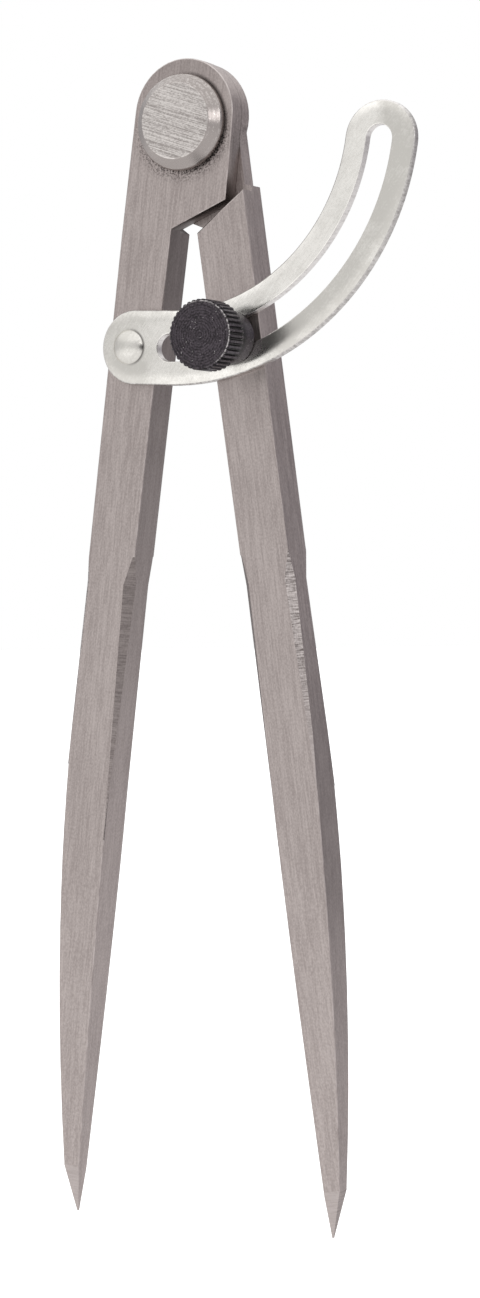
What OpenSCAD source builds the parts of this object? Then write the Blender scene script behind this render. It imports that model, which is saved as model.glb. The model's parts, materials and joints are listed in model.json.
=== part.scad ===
// Wing divider with a setting arc.
// Two forged steel legs turn on a riveted half-lap hinge. A slotted arc, riveted to the left leg,
// passes over the right leg, where a knurled thumbscrew clamps it.
// The hinge axis is Y through the origin, the points hang down along -Z and the front faces -Y.

/* [Legs] */
// Distance from the hinge axis to the points
leg_reach = 190.3; // [175:0.1:240]
// Thickness of each leg
leg_t = 6.7; // [5:0.1:9]
// Distance of a leg's outer face from the plane where the legs meet
bar_out = 9.75; // [9:0.05:12]
// Gap between the inner face and the meeting plane just below the hinge
root_gap = 0.1; // [0.05:0.05:0.3]
// Gap between the inner face and the meeting plane at the middle of the hollow
hollow_gap = 0.9; // [0.3:0.05:1.5]
// Distance from the point up to the middle of the hollow
hollow_l = 75.6; // [50:0.1:100]
// Angle of each leg away from the meeting plane, as stored
half_open = 7.55; // [0:0.05:20]

/* [Hinge heads] */
// Radius of the rounded head
head_r = 9.5; // [9:0.05:11]
// Height of the head's centre above the hinge axis
head_rise = 1.4; // [0:0.1:2]
// Distance below the axis where the left leg's flank reaches the outer face
left_flank_l = 20; // [16:0.5:28]
// Distance below the axis where the right leg's flank steps out to the outer face
right_step_l = 12; // [11:0.1:13]
// Width of the right leg's step
right_step_w = 1.2; // [0.8:0.1:1.6]
// Run of the right leg's step
right_step_run = 0.4; // [0.2:0.1:1]
// Reach of a lap past the meeting plane at its shoulder
lap_reach = 9.8; // [9:0.05:11]
// Distance below the axis where the shoulder meets the meeting plane
shoulder_l = 18; // [17:0.1:22]
// Slope of the shoulder
shoulder_deg = 30; // [20:1:35]
// Gap left between the two front shoulders when the legs are closed
shoulder_gap = 0.9; // [0.4:0.1:1.5]
// Gap left between the two rear shoulders when the legs are closed
rear_gap = 0.35; // [0.3:0.05:1.5]
// Running gap between the two laps
lap_gap = 0.06; // [0.02:0.01:0.15]

/* [Taper and points] */
// Length of the curved taper of the outer edge, up from the point
taper_l = 85.3; // [60:0.1:100]
// Length of the curved thinning of the front and rear faces, up from the point
thin_l = 62.1; // [45:0.1:80]
// Angle at which these curves leave the straight faces
curve_lead = 1; // [0.6:0.1:1.4]
// Length of the ground point
point_l = 8; // [5:0.5:14]
// Width of the leg where the ground point starts
point_w = 3.2; // [2:0.1:4]
// Thickness of the leg where the ground point starts
point_t = 2.8; // [1.5:0.1:4]
// Flat left at the very tip
tip_w = 0.25; // [0.1:0.05:0.6]
// Clearance of the tip from the meeting plane
tip_gap = 0.03; // [0.01:0.01:0.1]
// Distance from the point up to the top of the edge chamfers
chamfer_l = 115.9; // [85:0.1:125]
// Width that a broad edge chamfer takes off each face, at its widest
chamfer_w = 1.3; // [0.6:0.1:2]
// Width that a light edge chamfer takes off each face, at its widest
light_chamfer_w = 0.6; // [0.2:0.1:1]
// Length over which a chamfer runs in
chamfer_run = 5; // [2:0.5:10]
// Length over which a chamfer fades out towards the point
chamfer_fade = 44.4; // [25:0.1:60]

/* [Hinge rivet] */
// Radius of the rivet's shank
shank_r = 4; // [3:0.1:5]
// Running clearance of the shank in the right leg
shank_play = 0.04; // [0.02:0.01:0.08]
// Radius of the rivet head and of the rear disc
rim_r = 8.2; // [7.4:0.1:8.3]
// Radius of their flat faces
face_r = 6.4; // [5.8:0.1:7]
// Height of their straight rims
rim_h = 1.1; // [0.5:0.05:2]
// Whole height of the rivet head and of the rear disc
disc_h = 2.8; // [2.2:0.1:4]
// Radial flare of the riveted tail
tail_flare = 0.9; // [0.4:0.1:1.4]

/* [Setting arc] */
// Radius of the arc's middle line about the hinge
arc_r = 38.2; // [34:0.1:46]
// Width of the arc
arc_w = 12.8; // [11:0.1:15]
// Thickness of the arc
arc_t = 1.8; // [1.2:0.1:3]
// Widest angle between the legs
open_max = 81.4; // [60:0.1:95]
// Spare angle of the slot past the closed position
slot_spare = 3.1; // [1:0.1:4]
// Play of the clamp stud across the slot
slot_play = 0.7; // [0.2:0.05:1]
// Share of half that play by which the stud sits outside the slot's middle line
stud_drop = 0.8; // [0:0.05:0.9]
// Distance of the arc's rounded end centre from its rivet
end_inset = 0.95; // [0:0.05:2.5]
// Extra radius of the round ends of the arc and of its slot
end_swell = 0.02; // [0.01:0.01:0.1]

/* [Arc rivet] */
// Radius of the arc rivet's head
button_r = 2.95; // [2.4:0.05:3.4]
// Height of the arc rivet's head
button_h = 1.4; // [0.8:0.1:2]
// Radius of the arc rivet's shank
button_shank_r = 1.6; // [1.2:0.1:2]
// Radial flare of the arc rivet's tail
button_flare = 0.8; // [0.4:0.1:1]

/* [Thumbscrew] */
// Radius of the clamp stud
stud_r = 2; // [1.5:0.1:2.5]
// Clearance of the stud in the tapped hole, where the threads are left out
thread_play = 0.05; // [0.02:0.01:0.08]
// Clearance of the stud in the knob
seat_play = 0.02; // [0.01:0.01:0.05]
// Distance of the stud's end below the rear face of the right leg
stud_short = 0.6; // [0.2:0.1:2]
// Radius of the knurled head
knob_r = 5.9; // [5:0.1:6.4]
// Length of the knurled head
knob_l = 4.9; // [3:0.1:7]
// Radius of the collar
collar_r = 4.5; // [3.8:0.1:5]
// Length of the collar
collar_l = 6; // [3:0.1:7]
// Thickness of the knob in front of the stud
knob_cap = 2.2; // [1:0.1:3]
// Number of knurl teeth
knurl_count = 40; // [24:1:48]
// Depth of the knurl
knurl_depth = 0.35; // [0.2:0.05:0.6]
// Chamfer of the knurled head's edges
knob_chamfer = 0.3; // [0.1:0.05:0.6]
// Depth of the groove turned between head and collar
neck_depth = 0.4; // [0.2:0.1:0.8]
// Width of that groove
neck_w = 0.5; // [0.3:0.1:1]

/* [Hidden] */
$fn = 96;
wide_fn = 1440;
steel = [0.63, 0.6, 0.58];
bright_steel = [0.7, 0.69, 0.67];
plating = [0.85, 0.84, 0.82];
black_oxide = [0.12, 0.11, 0.12];

// The front faces of the legs and of the arc, as distances in front of the middle plane
leg_face = leg_t / 2;
arc_face = leg_face + arc_t;

// A length well past the head, for cuts that pass right through a leg
over = 2 * (head_rise + head_r);

// The inner face runs straight from the shoulder to the middle of the hollow
hollow_at = leg_reach - hollow_l;
inner_at_arc = root_gap + (hollow_gap - root_gap) * (arc_r - shoulder_l) / (hollow_at - shoulder_l);
bar_mid = (bar_out + inner_at_arc) / 2;

// The screw sits on the bar's middle line, a little outside the arc's middle circle
screw_r = arc_r + stud_drop * slot_play / 2;
screw_deg = asin(bar_mid / screw_r);
screw_at = screw_r * down(screw_deg);
slot_w = 2 * stud_r + slot_play;
slot_deg = slot_spare + open_max;

// From the slot's near end the arc runs straight to its rivet on the left bar's middle line.
// The angle is that end's from straight down, with the legs closed.
tab_deg = screw_deg - slot_spare;
tab_l = (bar_mid + arc_r * sin(tab_deg)) / cos(tab_deg);

// A unit vector at an angle from straight down towards +X
function down(a) = [sin(a), -cos(a)];

// The radius of a low dome
function dome_r(radius, height) = (radius * radius + height * height) / (2 * height);

// Stands a flat outline up in the XZ plane, with its thickness about the middle plane
module upright(thickness) {
    rotate([90, 0, 0])
        linear_extrude(thickness, center = true)
            children();
}

// Stands a turned piece on the Y axis, with its own +Z to the front
module facing_front() {
    rotate([90, 0, 0])
        children();
}

// What a rounded taper takes off the face at x = face, down past the point.
// The curve leaves the face at curve_lead and has moved in by depth where the ground point starts.
module curve_cut(face, length, depth) {
    run = length - point_l;
    turn = atan(depth / run) - curve_lead;
    radius = norm([run, depth]) / (2 * sin(turn));
    difference() {
        translate([face - 2 * depth, -over, -point_l - leg_reach])
            cube([4 * depth, 2 * over, length + point_l]);
        translate([face - radius * cos(curve_lead), 0, length - leg_reach + radius * sin(curve_lead)])
            facing_front()
                cylinder(h = 4 * over, r = radius, center = true, $fn = wide_fn);
    }
}

// What grinding the point takes off, outside a plane through x = tip at the tip
// and x = top where the ground point starts
module point_cut(top, tip) {
    slope = (top - tip) / point_l;
    low = -point_l;
    high = 2 * point_l;
    translate([0, 0, -leg_reach])
        upright(2 * over)
            polygon([
                [tip + slope * low, low],
                [bar_out + over, low],
                [bar_out + over, high],
                [tip + slope * high, high]
            ]);
}

// The side outline of a leg with its whole lap, without the rounded head, outer face to +X.
// The flank's points lead down from the head's middle to the outer face.
module leg_outline(flank) {
    lap_rise = lap_reach * tan(shoulder_deg);
    polygon(concat(
        [
            [tip_gap, -leg_reach],
            [hollow_gap, -hollow_at],
            [root_gap, -shoulder_l],
            [-lap_reach, lap_rise - shoulder_l],
            [-head_r, head_rise]
        ],
        flank,
        [[bar_out, -leg_reach]]
    ));
}

// A chamfer that runs in, then fades towards the point, along the long edge at x = edge
module edge_chamfer(edge, outward_x, outward_y, width) {
    top = chamfer_l - leg_reach;
    bottom = top - chamfer_run - chamfer_fade;
    depth = width * cos(45);
    translate([edge, outward_y * leg_face, 0])
        rotate([0, 0, atan2(-outward_y, -outward_x)])
            upright(4 * width)
                polygon([
                    [-width, top],
                    [0, top],
                    [depth, top - chamfer_run],
                    [0, bottom],
                    [-width, bottom]
                ]);
}

// A forged leg with its rear lap, before drilling, outer face to +X.
// The chamfers are the widths on its outer edges, front and rear, then on its inner edges.
// The gap is the one between its shoulder and the other leg's lap.
module leg_blank(flank, chamfers, gap) {
    shoulder_top = -shoulder_l - gap / cos(shoulder_deg);
    shoulder_rise = over * tan(shoulder_deg);
    difference() {
        union() {
            translate([0, 0, head_rise])
                facing_front()
                    cylinder(h = leg_t, r = head_r, center = true);
            upright(leg_t)
                leg_outline(flank);
        }
        curve_cut(bar_out, taper_l, bar_out - point_w);
        point_cut(point_w, tip_gap + tip_w);
        for (side = [-90, 90])
            rotate([0, 0, side]) {
                curve_cut(leg_face, thin_l, leg_face - point_t / 2);
                point_cut(point_t / 2, tip_w / 2);
            }
        translate([0, lap_gap / 2 - leg_t / 2, 0])
            upright(leg_t)
                polygon([
                    [-over, shoulder_top - shoulder_rise],
                    [over, shoulder_top + shoulder_rise],
                    [over, over],
                    [-over, over]
                ]);
        edge_chamfer(bar_out, 1, -1, chamfers[0]);
        edge_chamfer(bar_out, 1, 1, chamfers[1]);
        edge_chamfer(hollow_gap, -1, -1, chamfers[2]);
        edge_chamfer(hollow_gap, -1, 1, chamfers[3]);
    }
}

// Turns a piece from the arc's frame, where the slot's near end is straight below the hinge,
// to its place on the left leg
module in_arc_frame() {
    rotate([0, half_open - tab_deg, 0])
        children();
}

// The left leg, its lap in front, drilled for the hinge rivet and the arc rivet.
// Its broad chamfer is on the inner edge that faces the front once the blank is turned round.
module left_leg() {
    flank = [[head_r, head_rise], [bar_out, -left_flank_l]];
    chamfers = [light_chamfer_w, light_chamfer_w, light_chamfer_w, chamfer_w];
    color(steel)
        difference() {
            rotate([0, -half_open, 180])
                leg_blank(flank, chamfers, rear_gap);
            facing_front()
                cylinder(h = 2 * leg_t, r = shank_r, center = true);
            in_arc_frame()
                arc_rivet_shank();
        }
}

// The right leg, its lap behind, drilled for the hinge rivet and tapped for the clamp stud.
// Its broad chamfers are on the outer edges.
module right_leg() {
    step_x = bar_out - right_step_w;
    flank = [[step_x, head_rise], [step_x, -right_step_l], [bar_out, -right_step_l - right_step_run]];
    chamfers = [chamfer_w, chamfer_w, light_chamfer_w, light_chamfer_w];
    color(steel)
        rotate([0, -half_open, 0])
            difference() {
                leg_blank(flank, chamfers, shoulder_gap);
                facing_front()
                    cylinder(h = 2 * leg_t, r = shank_r + shank_play, center = true);
                at_screw()
                    cylinder(h = 2 * leg_t, r = stud_r + thread_play, center = true);
            }
}

// The hinge rivet: a wide chamfered head, a shank and a tail flared into the rear disc
module pivot_rivet() {
    rear = leg_face + disc_h;
    color(bright_steel)
        facing_front()
            rotate_extrude()
                polygon([
                    [0, -rear],
                    [shank_r + tail_flare, -rear],
                    [shank_r, tail_flare - rear],
                    [shank_r, leg_face],
                    [rim_r, leg_face],
                    [rim_r, leg_face + rim_h],
                    [face_r, leg_face + disc_h],
                    [0, leg_face + disc_h]
                ]);
}

// The rear disc of the hinge, countersunk for the rivet's tail
module pivot_washer() {
    rear = leg_face + disc_h;
    color(bright_steel)
        facing_front()
            rotate_extrude()
                polygon([
                    [shank_r, -leg_face],
                    [rim_r, -leg_face],
                    [rim_r, -leg_face - rim_h],
                    [face_r, -rear],
                    [shank_r + tail_flare, -rear],
                    [shank_r, tail_flare - rear]
                ]);
}

// A wedge about the hinge axis that holds the angles between from and to
module wedge(from, to) {
    far = 2 * (arc_r + arc_w);
    polygon([
        [0, 0],
        far * down(from),
        far * down((from + to) / 2),
        far * down(to)
    ]);
}

// A band of the arc's circle between two angles
module band(width, from, to) {
    intersection() {
        difference() {
            circle(arc_r + width / 2);
            circle(arc_r - width / 2);
        }
        wedge(from, to);
    }
}

// A flat piece of the arc, on the front faces of the legs
module on_legs(thickness) {
    translate([0, -leg_face - arc_t / 2, 0])
        upright(thickness)
            children();
}

// The slot, with round ends, cut well past both faces
module slot() {
    deep = 3 * arc_t;
    on_legs(deep)
        band(slot_w, 0, slot_deg);
    for (a = [0, slot_deg])
        on_legs(deep)
            translate(arc_r * down(a))
                circle(slot_w / 2 + end_swell);
}

// The arc with its straight tab and round ends, before the slot
module arc_blank() {
    end_x = end_inset - tab_l;
    on_legs(arc_t)
        band(arc_w, 0, slot_deg);
    for (end = [arc_r * down(slot_deg), [end_x, -arc_r]])
        on_legs(arc_t)
            translate(end)
                circle(arc_w / 2 + end_swell);
    on_legs(arc_t)
        translate([end_x, -arc_r - arc_w / 2])
            square([-end_x, arc_w]);
}

// The slotted setting arc
module setting_arc() {
    color(plating)
        in_arc_frame()
            difference() {
                arc_blank();
                slot();
                arc_rivet_shank();
            }
}

// Puts a turned piece on the arc rivet's axis, in the arc's frame
module at_arc_rivet() {
    translate([-tab_l, 0, -arc_r])
        facing_front()
            children();
}

// The arc rivet's shank and flared tail, which is also the hole that it fills
module arc_rivet_shank() {
    at_arc_rivet()
        rotate_extrude()
            polygon([
                [0, -leg_face],
                [button_shank_r + button_flare, -leg_face],
                [button_shank_r, button_flare - leg_face],
                [button_shank_r, arc_face],
                [0, arc_face]
            ]);
}

// The arc rivet with its low round head
module arc_rivet() {
    ball_r = dome_r(button_r, button_h);
    color(plating)
        in_arc_frame()
            union() {
                arc_rivet_shank();
                at_arc_rivet()
                    rotate_extrude()
                        intersection() {
                            translate([0, arc_face + button_h - ball_r])
                                circle(ball_r);
                            translate([0, arc_face])
                                square([button_r, button_h]);
                        }
            }
}

// Puts a turned piece on the clamp screw's axis, in the right leg's own frame
module at_screw() {
    translate([screw_at[0], 0, screw_at[1]])
        facing_front()
            children();
}

// The clamp stud, from inside the knob to just short of the rear face
module clamp_stud() {
    front = arc_face + collar_l + knob_l - knob_cap;
    rear = stud_short - leg_face;
    color(bright_steel)
        rotate([0, -half_open, 0])
            at_screw()
                translate([0, 0, rear])
                    cylinder(h = front - rear, r = stud_r);
}

// The knurled outline of the knob, one tooth and one groove after another
module knurl_outline() {
    step = 180 / knurl_count;
    polygon([
        for (i = [0 : 2 * knurl_count - 1])
            (knob_r - knurl_depth * (i % 2)) * down(i * step)
    ]);
}

// The knob: knurled head with chamfered edges, turned neck and collar, bored for the stud
module clamp_knob() {
    head_at = arc_face + collar_l;
    front = head_at + knob_l;
    cut = knurl_depth + knob_chamfer;
    color(black_oxide)
        rotate([0, -half_open, 0])
            at_screw()
                difference() {
                    union() {
                        translate([0, 0, arc_face])
                            cylinder(h = collar_l - neck_w, r = collar_r);
                        translate([0, 0, arc_face])
                            cylinder(h = collar_l + knob_chamfer, r = collar_r - neck_depth);
                        intersection() {
                            translate([0, 0, head_at])
                                linear_extrude(knob_l)
                                    knurl_outline();
                            rotate_extrude()
                                polygon([
                                    [0, head_at],
                                    [knob_r - cut, head_at],
                                    [knob_r, head_at + cut],
                                    [knob_r, front - cut],
                                    [knob_r - cut, front],
                                    [0, front]
                                ]);
                        }
                    }
                    cylinder(h = front - knob_cap, r = stud_r + seat_play);
                }
}

left_leg();
right_leg();
pivot_rivet();
pivot_washer();
setting_arc();
arc_rivet();
clamp_stud();
clamp_knob();
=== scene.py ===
"""Dresses the wing divider: ground steel legs, a plated setting arc and a black thumbscrew.

Lengths are in millimetres and angles in degrees, unless a docstring says otherwise.
The tool stands on its points, front towards -Y, with the hinge axis through the origin.
"""

import json
import logging
import math
from dataclasses import dataclass
from enum import Enum
from functools import reduce
from typing import Any, Callable, Sequence

import bmesh
import bpy
from mathutils import Matrix, Vector

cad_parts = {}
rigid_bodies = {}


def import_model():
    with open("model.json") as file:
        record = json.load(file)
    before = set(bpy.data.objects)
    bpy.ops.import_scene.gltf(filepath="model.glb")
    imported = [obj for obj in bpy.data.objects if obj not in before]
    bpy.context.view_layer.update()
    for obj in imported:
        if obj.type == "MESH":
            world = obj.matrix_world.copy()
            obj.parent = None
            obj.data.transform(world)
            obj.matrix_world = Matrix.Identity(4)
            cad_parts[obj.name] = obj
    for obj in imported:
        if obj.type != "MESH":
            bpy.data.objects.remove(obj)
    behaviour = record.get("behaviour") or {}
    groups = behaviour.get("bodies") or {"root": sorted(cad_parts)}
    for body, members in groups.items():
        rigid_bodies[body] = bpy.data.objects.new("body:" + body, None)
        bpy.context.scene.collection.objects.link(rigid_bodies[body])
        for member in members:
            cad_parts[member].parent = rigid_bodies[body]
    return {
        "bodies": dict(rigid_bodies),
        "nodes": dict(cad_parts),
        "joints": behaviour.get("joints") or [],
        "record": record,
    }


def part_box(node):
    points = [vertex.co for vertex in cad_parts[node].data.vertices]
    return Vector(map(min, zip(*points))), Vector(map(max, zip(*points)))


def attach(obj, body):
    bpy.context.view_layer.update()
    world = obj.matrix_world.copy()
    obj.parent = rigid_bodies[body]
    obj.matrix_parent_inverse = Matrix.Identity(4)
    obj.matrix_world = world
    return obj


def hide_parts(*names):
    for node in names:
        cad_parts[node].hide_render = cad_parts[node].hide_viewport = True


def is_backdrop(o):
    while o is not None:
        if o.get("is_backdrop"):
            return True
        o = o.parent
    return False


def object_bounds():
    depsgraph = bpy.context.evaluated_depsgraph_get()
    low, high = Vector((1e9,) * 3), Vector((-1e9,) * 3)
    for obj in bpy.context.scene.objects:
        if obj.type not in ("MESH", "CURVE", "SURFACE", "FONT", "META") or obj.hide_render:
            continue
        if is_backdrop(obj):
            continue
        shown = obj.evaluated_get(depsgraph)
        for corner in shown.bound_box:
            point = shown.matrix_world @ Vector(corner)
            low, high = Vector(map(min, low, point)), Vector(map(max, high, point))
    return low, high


Colour = tuple[float, float, float, float]
Triple = tuple[float, float, float]
Spot = tuple[float, float]
Span = tuple[float, float]
Box = tuple[Vector, Vector]
Socket = bpy.types.NodeSocket
Material = bpy.types.Material
Mesh = bpy.types.Mesh
Piece = bpy.types.Object

MM = 0.001
# The knob's rubbed rim: wear, weighted to the upper right as a painted highlight.
WEAR_AND_GLINT_LAYER = "rub"

# The gap that a CAD node's points are welded over, and the turn below which its faces are one.
WELD = 0.03 * MM
FLAT = math.radians(0.4)

# Sizes that more than one sub-assembly or finish goes by.
HINGE_AXIS: Spot = (0.0, 0.0)
LEG_T = 6.7
LEG_FACE = LEG_T / 2
DISC_R = 8.2
DISC_FACE_R = 6.4
ARC_R = 38.2
ARC_T = 1.8
ARC_FACE = LEG_FACE + ARC_T
SLOT_W = 4.7
BUTTON_R = 2.95

# The values that noise mostly keeps to, and a step so long that its axis counts for nothing.
NOISE_SPAN: Span = (0.3, 0.7)
ENDLESS = 1e6

log = logging.getLogger("wing_divider")


class Side(Enum):
    """The two legs, by the side that they stand on as seen from the front."""

    LEFT = -1
    RIGHT = 1


@dataclass(frozen=True)
class Strokes:
    """The marks of grinding: sizes of fine and broad lines, and the weights of lines and grit."""

    fine: Triple
    broad: Triple
    detail: float
    lines: float
    grit: float


class Grain(Enum):
    """The two ways in which a leg's faces are ground."""

    ALONG = Strokes((0.3, 0.3, 6.0), (1.2, 1.2, 45.0), detail=3.0, lines=0.4, grit=0.35)
    ACROSS = Strokes((3.0, 3.0, 0.25), (5.0, 5.0, 1.2), detail=2.0, lines=0.55, grit=0.2)


class Cut(Enum):
    """The kinds of face on a leg, by the number of their material slot."""

    BAR = 0
    HOLLOW = 1
    SCRAPED = 2
    POINT = 3
    INNER = 4
    LAP = 5
    EDGE = 6


class Graph:
    """A node tree that is put together step by step."""

    def __init__(self, tree: bpy.types.NodeTree) -> None:
        """Takes over the tree that the nodes go into."""
        self.tree = tree

    def node(self, kind: str, feeds: dict[Any, Any], **settings: Any) -> bpy.types.Node:
        """Adds one node.

        Args:
            kind: Blender's name for the kind of node.
            feeds: A socket or a plain value for each input, by the input's name or number.
            **settings: The node's own settings.

        Returns:
            The new node.
        """
        node = self.tree.nodes.new(kind)
        for key, value in settings.items():
            setattr(node, key, value)
        for key, value in feeds.items():
            if isinstance(value, Socket):
                self.tree.links.new(value, node.inputs[key])
            else:
                node.inputs[key].default_value = value
        return node

    def fit(self, value: Socket, low: float, high: float, first: float = 0.0, last: float = 1.0) -> Socket:
        """Stretches the values from low to high over another range, and holds them there."""
        feeds = {"Value": value, "From Min": low, "From Max": high, "To Min": first, "To Max": last}
        return self.node("ShaderNodeMapRange", feeds).outputs["Result"]

    def compute(self, operation: str, *values: Any) -> Socket:
        """Does one step of arithmetic on values, of which some may be plain numbers."""
        return self.node("ShaderNodeMath", dict(enumerate(values)), operation=operation).outputs[0]

    def sum(self, *parts: tuple[Socket, float]) -> Socket:
        """Adds up values, each by its own weight."""
        return reduce(lambda total, part: self.compute("MULTIPLY_ADD", *part, total), parts, 0.0)

    def product(self, *factors: Any) -> Socket:
        """Multiplies values, of which some may be plain numbers."""
        return reduce(lambda one, other: self.compute("MULTIPLY", one, other), factors)

    def blend(self, share: Socket, first: Any, second: Any) -> Socket:
        """Mixes two colours, where a share of 1 is all of the second."""
        return self.node("ShaderNodeMix", {0: share, 6: first, 7: second}, data_type="RGBA").outputs[2]


class Recipe(Graph):
    """A surface material."""

    def __init__(self, name: str) -> None:
        """Starts an empty recipe.

        Args:
            name: The material's name.
        """
        self.material = bpy.data.materials.new(name)
        self.material.use_nodes = True
        super().__init__(self.material.node_tree)
        self.shader = self.tree.nodes["Principled BSDF"]
        self.place = self.node("ShaderNodeTexCoord", {}).outputs["Object"]

    def grid(self, size: Triple, turn: float = 0.0, centre: Spot = HINGE_AXIS) -> Socket:
        """Measures the surface in steps of a given size.

        Args:
            size: The step along X, Y and Z after the turn.
            turn: Turn about the Y axis.
            centre: The X and Z that the steps are counted from.

        Returns:
            The place on the surface, in steps.
        """
        feeds = {
            "Vector": self.place,
            "Location": (centre[0] * MM, 0.0, centre[1] * MM),
            "Rotation": (0.0, math.radians(turn), 0.0),
            "Scale": [step * MM for step in size],
        }
        return self.node("ShaderNodeMapping", feeds, vector_type="TEXTURE").outputs["Vector"]

    def noise(self, where: Socket, detail: float, rough: float) -> Socket:
        """Adds cloudy noise with one blot to a step, from 0 to 1."""
        feeds = {"Vector": where, "Scale": 1.0, "Detail": detail, "Roughness": rough}
        return self.node("ShaderNodeTexNoise", feeds).outputs["Fac"]

    def blots(
        self, size: float | Triple, detail: float = 2.0, rough: float = 0.5, turn: float = 0.0
    ) -> Socket:
        """Adds cloudy noise with blots of a given size.

        Args:
            size: The blots' size, or their three sizes along X, Y and Z after the turn.
            detail: The number of finer layers in the noise.
            rough: The strength of the finer layers, from 0 to 1.
            turn: Turn about the Y axis.

        Returns:
            The noise, from 0 to 1.
        """
        sizes = (size, size, size) if isinstance(size, float) else size
        return self.noise(self.grid(sizes, turn), detail, rough)

    def radius(self, centre: Spot) -> Socket:
        """Measures the distance from an axis along Y, in millimetres."""
        flat = self.grid((1.0, ENDLESS, 1.0), centre=centre)
        return self.node("ShaderNodeVectorMath", {0: flat}, operation="LENGTH").outputs["Value"]

    def along(self, axis: str) -> Socket:
        """Measures the place along X, Y or Z, in millimetres."""
        return self.node("ShaderNodeSeparateXYZ", {0: self.grid((1.0, 1.0, 1.0))}).outputs[axis]

    def band(self, value: Socket, middle: float, half: float, fade: float = 1.0) -> Socket:
        """Marks the values up to half a width from a middle, with edges that fade out."""
        low, high = middle - half, middle + half
        return self.product(self.fit(value, low, low + fade), self.fit(value, high, high - fade))

    def finish(
        self, colour: Socket, rough: Socket, height: Socket, relief: float, metallic: float = 1.0
    ) -> Material:
        """Joins the parts of the recipe to the shader.

        Args:
            colour: The colour.
            rough: The roughness.
            height: The height that the bump follows.
            relief: The height of the bump, in millimetres.
            metallic: How metallic the surface is.

        Returns:
            The finished material.
        """
        bump = self.node("ShaderNodeBump", {"Height": height, "Distance": relief * MM, "Strength": 1.0})
        self.tree.links.new(colour, self.shader.inputs["Base Color"])
        self.tree.links.new(rough, self.shader.inputs["Roughness"])
        self.tree.links.new(bump.outputs["Normal"], self.shader.inputs["Normal"])
        self.shader.inputs["Metallic"].default_value = metallic
        return self.material


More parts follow.
